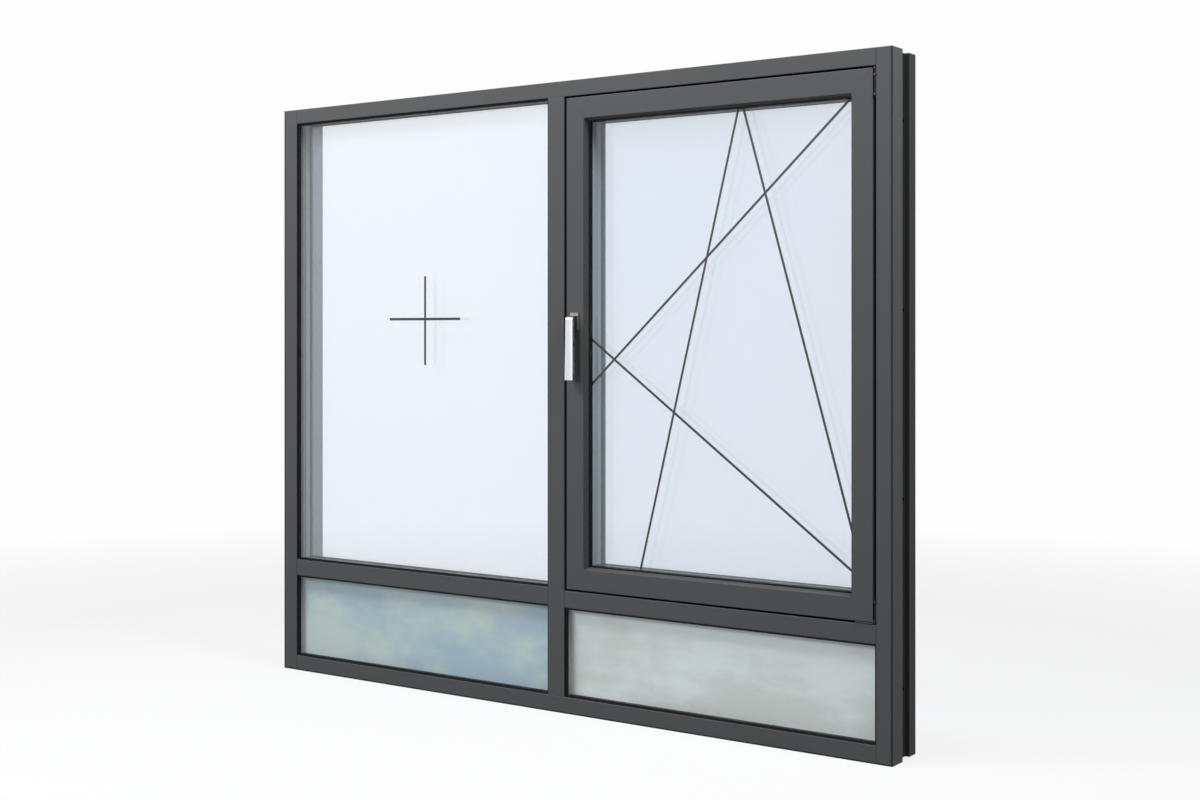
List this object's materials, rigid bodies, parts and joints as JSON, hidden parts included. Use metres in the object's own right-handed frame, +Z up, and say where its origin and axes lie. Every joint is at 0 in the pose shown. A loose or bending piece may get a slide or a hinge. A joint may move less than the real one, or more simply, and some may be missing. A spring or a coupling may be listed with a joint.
{
  "type": "tilt and turn window",
  "caption": "Dark aluminium window with fixed lights and one sash that tilts or turns inwards, with a lever handle, concealed hinges and insulating glass.",
  "frame": {"origin": "middle of the underside of the sill's room side shell, at half the unit's width", "axes": "+X to the right seen from the room, +Y to the outside, +Z up"},
  "size_m": [1.785, 0.1425, 1.5],
  "materials": {
    "frame_coating": "anthracite powder coat, fine satin",
    "insulating_strip": "black glass fibre reinforced polyamide",
    "gasket": "black sealing rubber",
    "insulating_glass": "clear float glass with a faint cool tint",
    "spacer": "pale grey warm edge spacer",
    "hardware": "black zinc nickel plated steel",
    "handle": "satin silver"
  },
  "bodies": {
    "frame": {"beads_lower_left": "frame_coating", "beads_lower_right": "frame_coating", "beads_upper_left": "frame_coating", "frame_thermal_breaks": "insulating_strip", "gaskets_lower_left": "gasket", "gaskets_lower_right": "gasket", "gaskets_upper_left": "gasket", "glass_lower_left": "insulating_glass", "glass_lower_right": "insulating_glass", "glass_upper_left": "insulating_glass", "head": "frame_coating", "hinge_bearings": "hardware", "jamb_end_caps": "frame_coating", "jamb_left": "frame_coating", "jamb_right": "frame_coating", "lock_keeps": "hardware", "mullion": "frame_coating", "sill": "frame_coating", "spacers_lower_left": "spacer", "spacers_lower_right": "spacer", "spacers_upper_left": "spacer", "transom_left": "frame_coating", "transom_right": "frame_coating", "vent_insert": "insulating_strip", "vent_seal": "gasket", "vent_stop": "frame_coating"},
    "corner_hinges": {"lower_hinge_pin": "hardware", "upper_hinge_link": "hardware"},
    "sash": {"sash_stile_handle": "frame_coating", "sash_stile_hinge": "frame_coating", "sash_rail_top": "frame_coating", "sash_rail_bottom": "frame_coating", "sash_thermal_breaks": "insulating_strip", "sash_glass": "insulating_glass", "sash_spacers": "spacer", "sash_gaskets": "gasket", "sash_beads": "frame_coating", "locking_cams": "hardware", "handle_base": "handle", "stay_rail": "hardware", "hinge_shoe": "hardware"},
    "stay_arm": {"stay_arm": "hardware"},
    "handle": {"handle_lever": "handle"}
  },
  "joints": [
    {"name": "turn", "type": "hinge", "parent": "frame", "child": "corner_hinges", "pos_m": [0.8535, -0.025, 0.2935], "axis": [0, 0, 1], "range_deg": [0, 90]},
    {"name": "tilt", "type": "hinge", "parent": "corner_hinges", "child": "sash", "pos_m": [0.8535, -0.025, 0.2935], "axis": [1, 0, 0], "range_deg": [0, 7]},
    {"name": "stay_swing", "type": "hinge", "parent": "corner_hinges", "child": "stay_arm", "pos_m": [0.8455, -0.003, 1.455], "axis": [0, 0, 1], "range_deg": [0, 24]},
    {"name": "handle_turn", "type": "hinge", "parent": "sash", "child": "handle", "pos_m": [0.077, -0.025, 0.93], "axis": [0, -1, 0], "range_deg": [0, 180]}
  ],
  "couplings": [
    {"joint": "stay_swing", "follows": "tilt", "ratio": 3.37}
  ]
}
